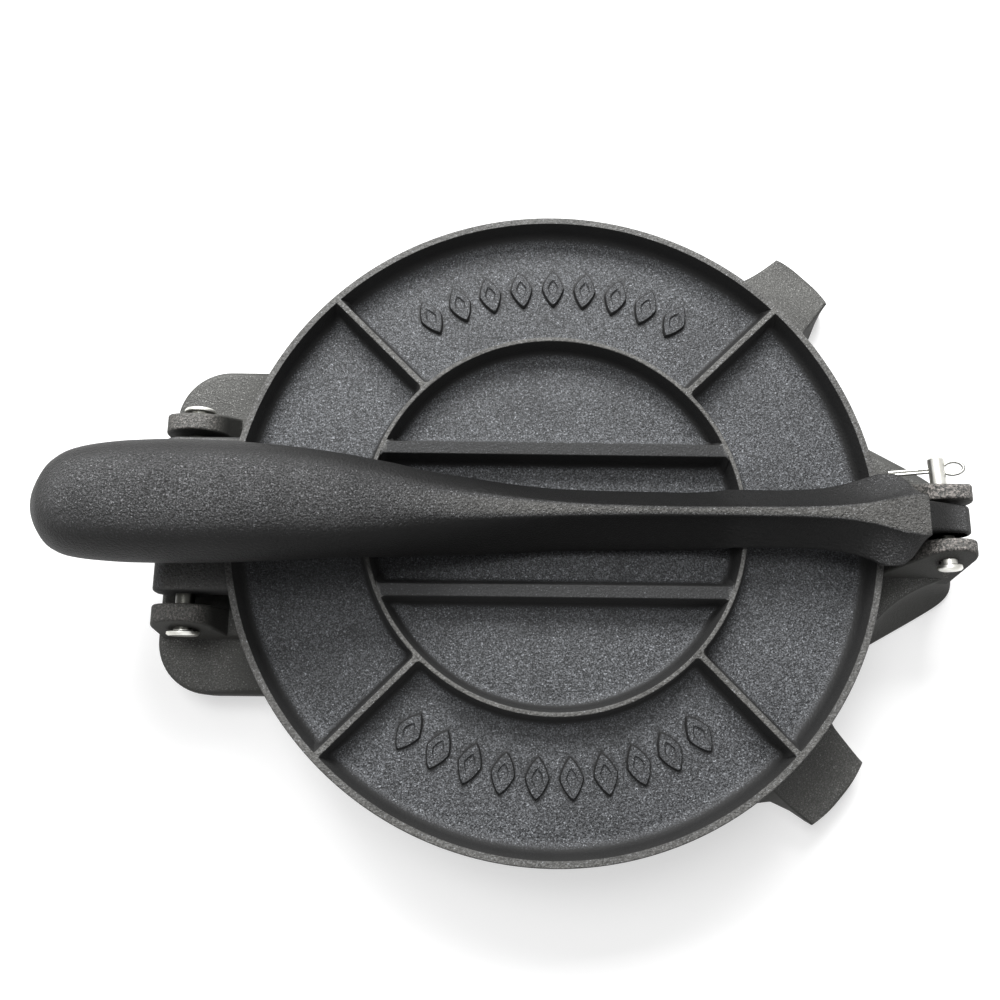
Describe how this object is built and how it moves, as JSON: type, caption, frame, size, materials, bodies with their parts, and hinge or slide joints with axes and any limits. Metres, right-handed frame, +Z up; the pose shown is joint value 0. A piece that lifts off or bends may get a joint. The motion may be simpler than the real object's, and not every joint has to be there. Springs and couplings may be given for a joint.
{
  "type": "tortilla press",
  "caption": "Hand press of two round iron plates: a ribbed top plate hinged at one side and a pressing lever pinned in a clevis at the other.",
  "frame": {"origin": "centre of the footprint's box on the table, under the press with its lid closed and its lever down", "axes": "+X from the hinge to the lever's clevis, +Z up, +Y towards the back as the press is used with the clevis at the right"},
  "size_m": [0.298, 0.207, 0.0694],
  "materials": {
    "cast_iron": "sand-cast, unpainted and oiled: fine grain, pale speckle, lighter on raised edges",
    "zinc_steel": "bright zinc plating, satin"
  },
  "bodies": {
    "base": {"base_casting": "cast_iron", "hinge_pin_back": "zinc_steel", "hinge_pin_front": "zinc_steel", "lever_pin": "zinc_steel", "cotter_pin": "zinc_steel"},
    "top_plate": {"top_plate": "cast_iron"},
    "lever": {"lever": "cast_iron"}
  },
  "joints": [
    {"name": "lever_pivot", "type": "hinge", "parent": "base", "child": "lever", "pos_m": [0.132, 0, 0.034], "axis": [0, 1, 0], "range_deg": [0, 179]},
    {"name": "lid_hinge", "type": "hinge", "parent": "base", "child": "top_plate", "pos_m": [-0.1073, 0, 0.0255], "axis": [0, -1, 0], "range_deg": [0, 25.95]}
  ],
  "couplings": [
    {"joint": "lid_hinge", "follows": "lever_pivot", "ratio": 0.145}
  ]
}
